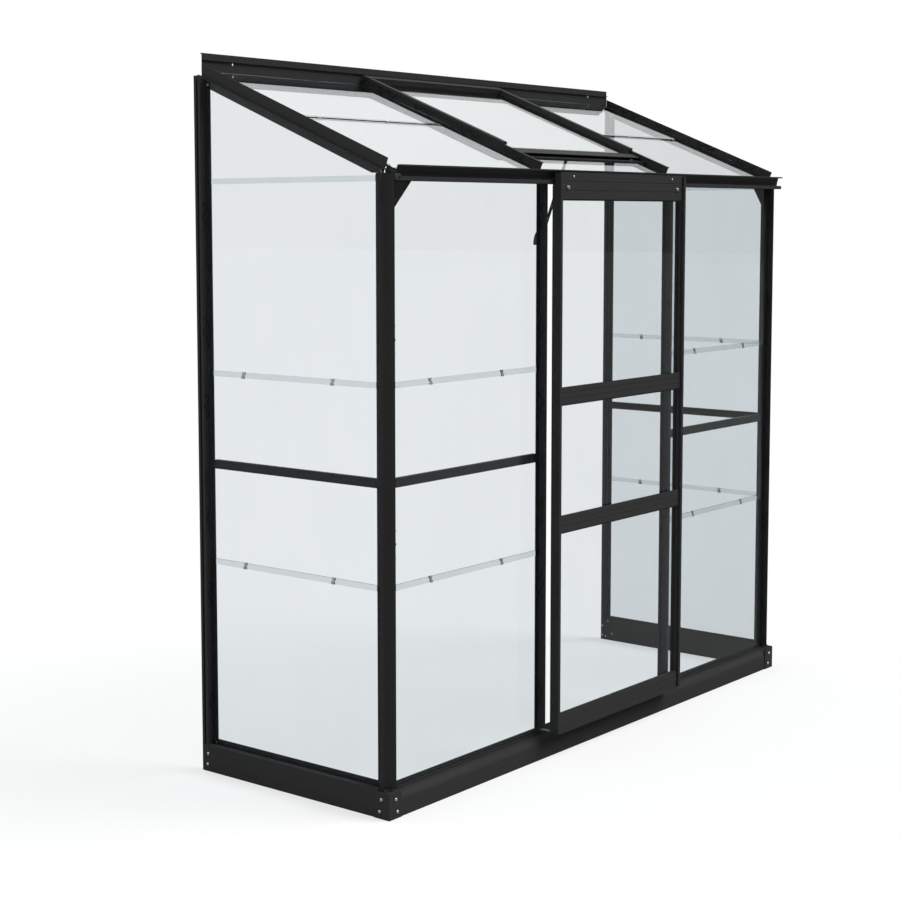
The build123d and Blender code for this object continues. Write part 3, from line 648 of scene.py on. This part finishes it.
# Screws, bolts and nuts on the frame, measured from the left front corner of the sills
bracket_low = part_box("sill_corner_brackets")[0]
bracket_out = (sill_corner.x - bracket_low.x) / mm
side_spots = ((23.0, 49.0), (29.0, 18.0))  # y and height
front_spots = ((22.4, 48.7), (28.3, 16.6))  # x and height
bracket_places = [facing(spot(-bracket_out, y, z), left, up) for y, z in side_spots]
bracket_places += [facing(spot(x, -bracket_out, z), front, up) for x, z in front_spots]
add_fixings("bracket_screws", pan_screw, bracket_places)

sill_back_spots = ((626.5, 48.0), (629.0, 19.0))
sill_back_places = [facing(spot(0.0, y, z), left, up) for y, z in sill_back_spots]
add_fixings("sill_end_screws", pan_screw, sill_back_places)

post_foot_y = 617.2
post_foot_height = 75.5
post_foot_places = [facing(spot(side_seat, post_foot_y, post_foot_height), left, up)]
add_fixings("wall_post_foot_screws", small_screw, post_foot_places)

sill_inside = (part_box("left_sill")[1].x - sill_corner.x) / mm
sill_inside_spots = ((620.0, 67.0), (642.0, 47.5), (641.5, 15.7), (628.5, 12.2), (602.0, 24.0))
sill_inside_places = [facing(spot(sill_inside, y, z), right, up) for y, z in sill_inside_spots]
add_fixings("sill_inside_screws", small_screw, sill_inside_places)

gusset_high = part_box("eave_gussets")[1]
gusset_back = (gusset_high.y - sill_corner.y) / mm
gusset_head = gusset_high.z / mm
gusset_spots = ((58.0, 10.0), (104.0, 10.0), (41.5, 42.0), (41.5, 78.0))  # x and drop from the head
gusset_places = [facing(spot(x, gusset_back, gusset_head - drop), back, up) for x, drop in gusset_spots]
add_fixings("gusset_nuts", nut, gusset_places)

gable_web = side_seat + gable_skin
rafter_head_rise = 633.0
rafter_head_lift = -10.9
rafter_spots = ((40.0, -9.0), (60.0, -9.0), (rafter_head_rise, rafter_head_lift))  # rise and lift
rafter_places = [facing(roof_spot(gable_web, rise, lift), right, slope_up) for rise, lift in rafter_spots]
add_fixings("rafter_nuts", nut, rafter_places)

slam_bolt_x = 690.0
slam_bolt_rise = 104.0
slam_skin = 2.0
slam_plate_lift = roof_seat + glass + glass_gap + slam_skin
slam_bolts = [facing(roof_spot(slam_bolt_x, slam_bolt_rise, slam_plate_lift), slope_out, slope_up)]
add_fixings("slam_bar_bolts", pan_screw, slam_bolts)

# Roller axles and bolts in the door's top rail
rail_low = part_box("door_top_rail")[0]
rail_face = (rail_low.y - sill_corner.y) / mm
roller_low, roller_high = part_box("door_rollers")
axle_height = (roller_low.z + roller_high.z) / 2 / mm
axle_x = 717.0
hanger_x = 690.0
hanger_height = 1538.0
axle_places = [facing(spot(axle_x, rail_face, axle_height), front, up)]
add_fixings("door_axle_screws", small_screw, axle_places, "door")
hanger_places = [facing(spot(hanger_x, rail_face, hanger_height), front, up)]
add_fixings("door_hanger_bolts", bolt_head, hanger_places, "door")

# Wire clips that press the panes on their seats, beside the posts and bars
clip_rises = (118.0, 412.0)
clip_off_web = 2.2
lap_step = glass + glass_gap
cap_end = 30.0
wall_post_rib = 626.0
door_post = 650.0
half_web = 1.5
front_clips = []
side_clips = []
for number, foot in enumerate(pane_feet):
    for rise in clip_rises:
        stand_out = lap_step * (1 - rise / pane_height) if number else 0.0
        height = foot + rise
        for x in (cap_end + clip_off_web, door_post - half_web - clip_off_web):
            front_clips.append(facing(spot(x, front_seat - glass - stand_out, height), front, up))
        for y in (cap_end + clip_off_web, wall_post_rib - clip_off_web):
            side_clips.append(facing(spot(side_seat - glass - stand_out, y, height), left, up))
add_wire_clips("front_wire_clips", front_clips)
add_wire_clips("side_wire_clips", side_clips)

lower_clip_rises = (95.0, 255.0)
upper_clip_rises = (430.0, 570.0)
roof_clip_rows = (gable_web + clip_off_web, door_post - half_web - clip_off_web)
roof_clips = []
for x in roof_clip_rows:
    for rise in lower_clip_rises:
        roof_clips.append(facing(roof_spot(x, rise, roof_seat + glass), slope_out, slope_up))
    for rise in upper_clip_rises:
        roof_clips.append(facing(roof_spot(x, rise, roof_seat + glass + lap_step / 2), slope_out, slope_up))
add_wire_clips("roof_wire_clips", roof_clips)

# Lap clips, two across each lap
front_lap_rows = (185.0, 480.0)
side_lap_rows = (193.0, 498.0)
roof_lap_rows = (118.0, 384.0)
front_laps = []
side_laps = []
for foot in pane_feet[1:]:
    front_laps += [facing(spot(x, front_seat, foot), front, up) for x in front_lap_rows]
    side_laps += [facing(spot(side_seat, y, foot), left, up) for y in side_lap_rows]
roof_laps = [facing(roof_spot(x, roof_lap_rise, roof_seat), slope_out, slope_up) for x in roof_lap_rows]
add_fixings("front_lap_clips", lap_clip, front_laps)
add_fixings("side_lap_clips", lap_clip, side_laps)
add_fixings("roof_lap_clips", lap_clip, roof_laps)

# Plugs that close the front sill's glass pocket under the corner posts
post_centre = 30.0  # of the corner post's round face, from both sills' faces
plug_radius = 27.7
plug_left = post_centre - plug_radius
plug_back = 35.9
plug_end = 37.5
plug_ahead_of_glass = 22.6
plug_foot = 60.1
plug_height = 11.9
plug_angles = (26, 20, 14, 7, 0)  # round the post's face, in degrees ahead of its left side
plug_outline = []
for angle in plug_angles:
    reach = plug_radius * cos(radians(angle))
    plug_outline.append((post_centre - reach, post_centre - plug_radius * sin(radians(angle))))
plug_front = plug_outline[0][1]
plug_outline += [
    (plug_left, plug_back),
    (post_centre, plug_back),
    (post_centre, plug_ahead_of_glass),
    (plug_end, plug_ahead_of_glass),
    (plug_end, plug_front),
]
pocket_plugs = bmesh.new()
add_prism(pocket_plugs, [spot(x, y, plug_foot) for x, y in plug_outline], up * (plug_height * mm))
mirror_across(pocket_plugs)
add_piece("pocket_plugs", pocket_plugs, "frame", rubber)

# Plugs in the ends of the gutter, each an inner and an outer block
gutter_foot = 1566.0
gutter_inner_low = spot(25.9, 10.0, gutter_foot)
gutter_inner_high = spot(30.1, 28.0, 1576.8)
gutter_outer_low = spot(23.7, 9.0, gutter_foot)
gutter_outer_high = spot(25.8, 22.4, 1582.0)
gutter_plugs = bmesh.new()
add_block(gutter_plugs, gutter_inner_low, gutter_inner_high, rounding=0.8 * mm)
add_block(gutter_plugs, gutter_outer_low, gutter_outer_high, rounding=0.6 * mm)
mirror_across(gutter_plugs)
add_piece("gutter_end_plugs", gutter_plugs, "frame", rubber)

# Stop at the left end of the door's track, with its screw
track_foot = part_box("eave_beam")[0].z
stop_face = -21.0
stop_back = stop_face + 4.8
stop_left = 9.0
stop_right = 26.8
stop_height = 15.5
stop_screw_x = 21.6
stop_screw_height = 8.0
stop_low = spot(stop_left, stop_face, 0.0) + up * track_foot
stop_high = spot(stop_right, stop_back, stop_height) + up * track_foot
track_stop = bmesh.new()
add_block(track_stop, stop_low, stop_high, rounding=1.0 * mm)
add_piece("track_stop", track_stop, "frame", nylon)
stop_screw = facing(spot(stop_screw_x, stop_face, stop_screw_height) + up * track_foot, front, up)
add_copies("track_stop_screw", small_screw, [stop_screw], "frame", wire)

# Plugs that carry the wall posts' flanges up to the gable rafters, and the screws above them
head_front = 610.2
head_back = 625.8
head_foot = 1787.0
head_rise = (head_back - head_front) * tan(roof_pitch)
head_outline = [(head_front, head_foot), (head_back, head_foot), (head_back, head_foot + head_rise)]
head_plugs = bmesh.new()
add_prism(head_plugs, [spot(side_seat, y, z) for y, z in head_outline], right * (gable_skin * mm))
mirror_across(head_plugs)
add_piece("wall_post_head_plugs", head_plugs, "frame", rubber)
head_screws = [facing(roof_spot(side_seat, rafter_head_rise, rafter_head_lift), left, up)]
add_fixings("rafter_head_screws", pan_screw, head_screws)

# Caps on the backs of the door's stiles, just under the eave
cap_drop = 5.0 * mm  # from the foot of the track down to the back of the stile
cap_gap = 1.0 * mm
cap_inset = Vector((0.3, 0.3, 0.0)) * mm
stile_caps = bmesh.new()
for stile in ("left_door_stile", "right_door_stile"):
    stile_low, stile_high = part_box(stile)
    cap_low = Vector((stile_low.x, stile_low.y, track_foot - cap_drop))
    cap_high = Vector((stile_high.x, stile_high.y, track_foot - cap_gap))
    add_block(stile_caps, cap_low + cap_inset, cap_high - cap_inset, rounding=0.8 * mm)
add_piece("door_stile_caps", stile_caps, "door", nylon)

# Glazing strips along the edges of the door's panes, behind the faces of the rails
strip_front = 2.1  # behind the rail's face
strip_back = 9.0
strip_gap = 1.0 * mm  # between the strip and the stile
strip_edges = {  # lower and upper edge, above the foot of the rail's face
    "door_top_rail": (-3.5, 7.7),
    "door_upper_transom": (-3.5, 9.7),
    "door_lower_transom": (-3.5, 9.7),
    "door_bottom_rail": (47.3, 57.0),
}
strip_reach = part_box("right_door_stile")[0].x - strip_gap
glazing_strips = bmesh.new()
for rail, (foot, head) in strip_edges.items():
    face_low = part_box(rail)[0]
    strip_low = Vector((-strip_reach, face_low.y + strip_front * mm, face_low.z + foot * mm))
    strip_high = Vector((strip_reach, face_low.y + strip_back * mm, face_low.z + head * mm))
    add_block(glazing_strips, strip_low, strip_high, rounding=1.2 * mm)
add_piece("door_glazing_strips", glazing_strips, "door", rubber)

# Moulded grip on the end of the vent's stay
grip_middle = spot(965.0, 248.0, 1381.0)
grip_half = 19.0 * mm
grip_height = 42.0 * mm
grip_thickness = 11.0 * mm
grip_rounding = 2.0 * mm
rim_turn = radians(60)  # edges that turn more than this are rims
half_turn = 180
grip_step = 9
grip_outline = []
for angle in range(0, half_turn + 1, grip_step):
    aside = back * (grip_half * cos(radians(angle)))
    above = up * (grip_height * sin(radians(angle)))
    grip_outline.append(grip_middle + aside + above + right * (grip_thickness / 2))
stay_grip = bmesh.new()
add_prism(stay_grip, grip_outline, left * grip_thickness)
rims = [edge for edge in stay_grip.edges if edge.calc_face_angle(0.0) > rim_turn]
round_edges(stay_grip, rims, grip_rounding, steps=3)
add_piece("vent_stay_grip", stay_grip, "frame", nylon)

for shape in (pan_screw, small_screw, nut, bolt_head, wire_clip, lap_clip):
    bpy.data.meshes.remove(shape)

# Camera, solved from the photograph's vanishing points
camera_place = Vector((-4.1827, -3.0264, 1.4585))
camera_right = Vector((0.63353, -0.77373, -0.00211))
camera_up = Vector((0.07464, 0.05840, 0.99550))
camera_back = camera_right.cross(camera_up)
camera_data = bpy.data.cameras.new("camera")
camera_data.sensor_width = 36.0
camera_data.lens = 71.38
camera_data.shift_x = 0.0368
camera_data.shift_y = -0.0690
camera = bpy.data.objects.new("camera", camera_data)
camera_turn = Matrix((camera_right, camera_up, camera_back)).transposed()
camera.matrix_world = Matrix.Translation(camera_place) @ camera_turn.to_4x4()
scene.collection.objects.link(camera)
scene.camera = camera


# Studio: white to the eye, with a soft fill that is strongest at the back left, and one soft key


def straight_rays(tree, path):
    """1 for rays from the camera, straight or through glass."""
    return math_node(tree, "MAXIMUM", path["Is Camera Ray"], path["Is Transmission Ray"])


def unmirrored_rays(tree, path):
    """1 for rays from the camera, straight or through glass, that nothing has mirrored on the way."""
    below_one = 0.5
    unmirrored = math_node(tree, "LESS_THAN", path["Glossy Depth"], below_one)
    return math_node(tree, "MULTIPLY", straight_rays(tree, path), unmirrored)


def toward(tree, direction):
    """How far a ray of the world points in a direction, from -1 to 1."""
    node = tree.nodes.new("ShaderNodeVectorMath")
    node.operation = "DOT_PRODUCT"
    link(tree, tree.nodes.new("ShaderNodeTexCoord").outputs["Generated"], node.inputs[0])
    node.inputs[1].default_value = Vector(direction).normalized()
    return node.outputs["Value"]


world = bpy.data.worlds.new("studio")
world.use_nodes = True
scene.world = world
sky = world.node_tree
sky.nodes.clear()
sky_path = sky.nodes.new("ShaderNodeLightPath").outputs
overhead = (0.0, 0.35, 1.0)
back_left = (-0.62, 0.7, 0.35)
mirrored_room = spread(sky, toward(sky, overhead), low=0.2, high=1.0, smooth=True, end=0.6)
seen_rays = math_node(sky, "MAXIMUM", straight_rays(sky, sky_path), sky_path["Is Glossy Ray"])
fill = sky.nodes.new("ShaderNodeBackground")
fill.inputs["Color"].default_value = (0.98, 0.99, 1.0, 1.0)
link(sky, spread(sky, toward(sky, back_left), low=0.18, high=1.1), fill.inputs["Strength"])
white = sky.nodes.new("ShaderNodeBackground")
white.inputs["Color"].default_value = (1.0, 1.0, 1.0, 1.0)
white_strength = math_node(sky, "MAXIMUM", unmirrored_rays(sky, sky_path), mirrored_room)
link(sky, white_strength, white.inputs["Strength"])
sky_mix = sky.nodes.new("ShaderNodeMixShader")
sky_out = sky.nodes.new("ShaderNodeOutputWorld")
link(sky, seen_rays, sky_mix.inputs[0])
link(sky, fill.outputs[0], sky_mix.inputs[1])
link(sky, white.outputs[0], sky_mix.inputs[2])
link(sky, sky_mix.outputs[0], sky_out.inputs["Surface"])

key_data = bpy.data.lights.new("key", "SUN")
key_data.energy = 2.6
key_data.angle = 0.6
key = bpy.data.objects.new("key", key_data)
key_direction = Vector((-0.427, 0.51, -0.748))
key.rotation_mode = "QUATERNION"
key.rotation_quaternion = key_direction.to_track_quat("-Z", "Y")
scene.collection.objects.link(key)


def floor_finish():
    """Pale floor that renders white where the light falls and keeps the shadow."""
    grey = 0.34
    seen_glow = 0.65
    made = bpy.data.materials.new("pale_floor")
    made.use_nodes = True
    tree = made.node_tree
    tree.nodes.clear()
    paint = tree.nodes.new("ShaderNodeBsdfDiffuse")
    paint.inputs["Color"].default_value = (grey, grey, grey, 1.0)
    glow = tree.nodes.new("ShaderNodeEmission")
    glow.inputs["Color"].default_value = (1.0, 1.0, 1.0, 1.0)
    seen = unmirrored_rays(tree, tree.nodes.new("ShaderNodeLightPath").outputs)
    link(tree, math_node(tree, "MULTIPLY", seen, seen_glow), glow.inputs["Strength"])
    both = tree.nodes.new("ShaderNodeAddShader")
    out = tree.nodes.new("ShaderNodeOutputMaterial")
    link(tree, paint.outputs[0], both.inputs[0])
    link(tree, glow.outputs[0], both.inputs[1])
    link(tree, both.outputs[0], out.inputs["Surface"])
    return made


floor_half = 60.0
floor_mesh = bpy.data.meshes.new("floor")
floor = bpy.data.objects.new("floor", floor_mesh)
floor_work = bmesh.new()
bmesh.ops.create_grid(floor_work, x_segments=1, y_segments=1, size=floor_half)
floor_work.to_mesh(floor_mesh)
floor_work.free()
floor_mesh.materials.append(floor_finish())
scene.collection.objects.link(floor)
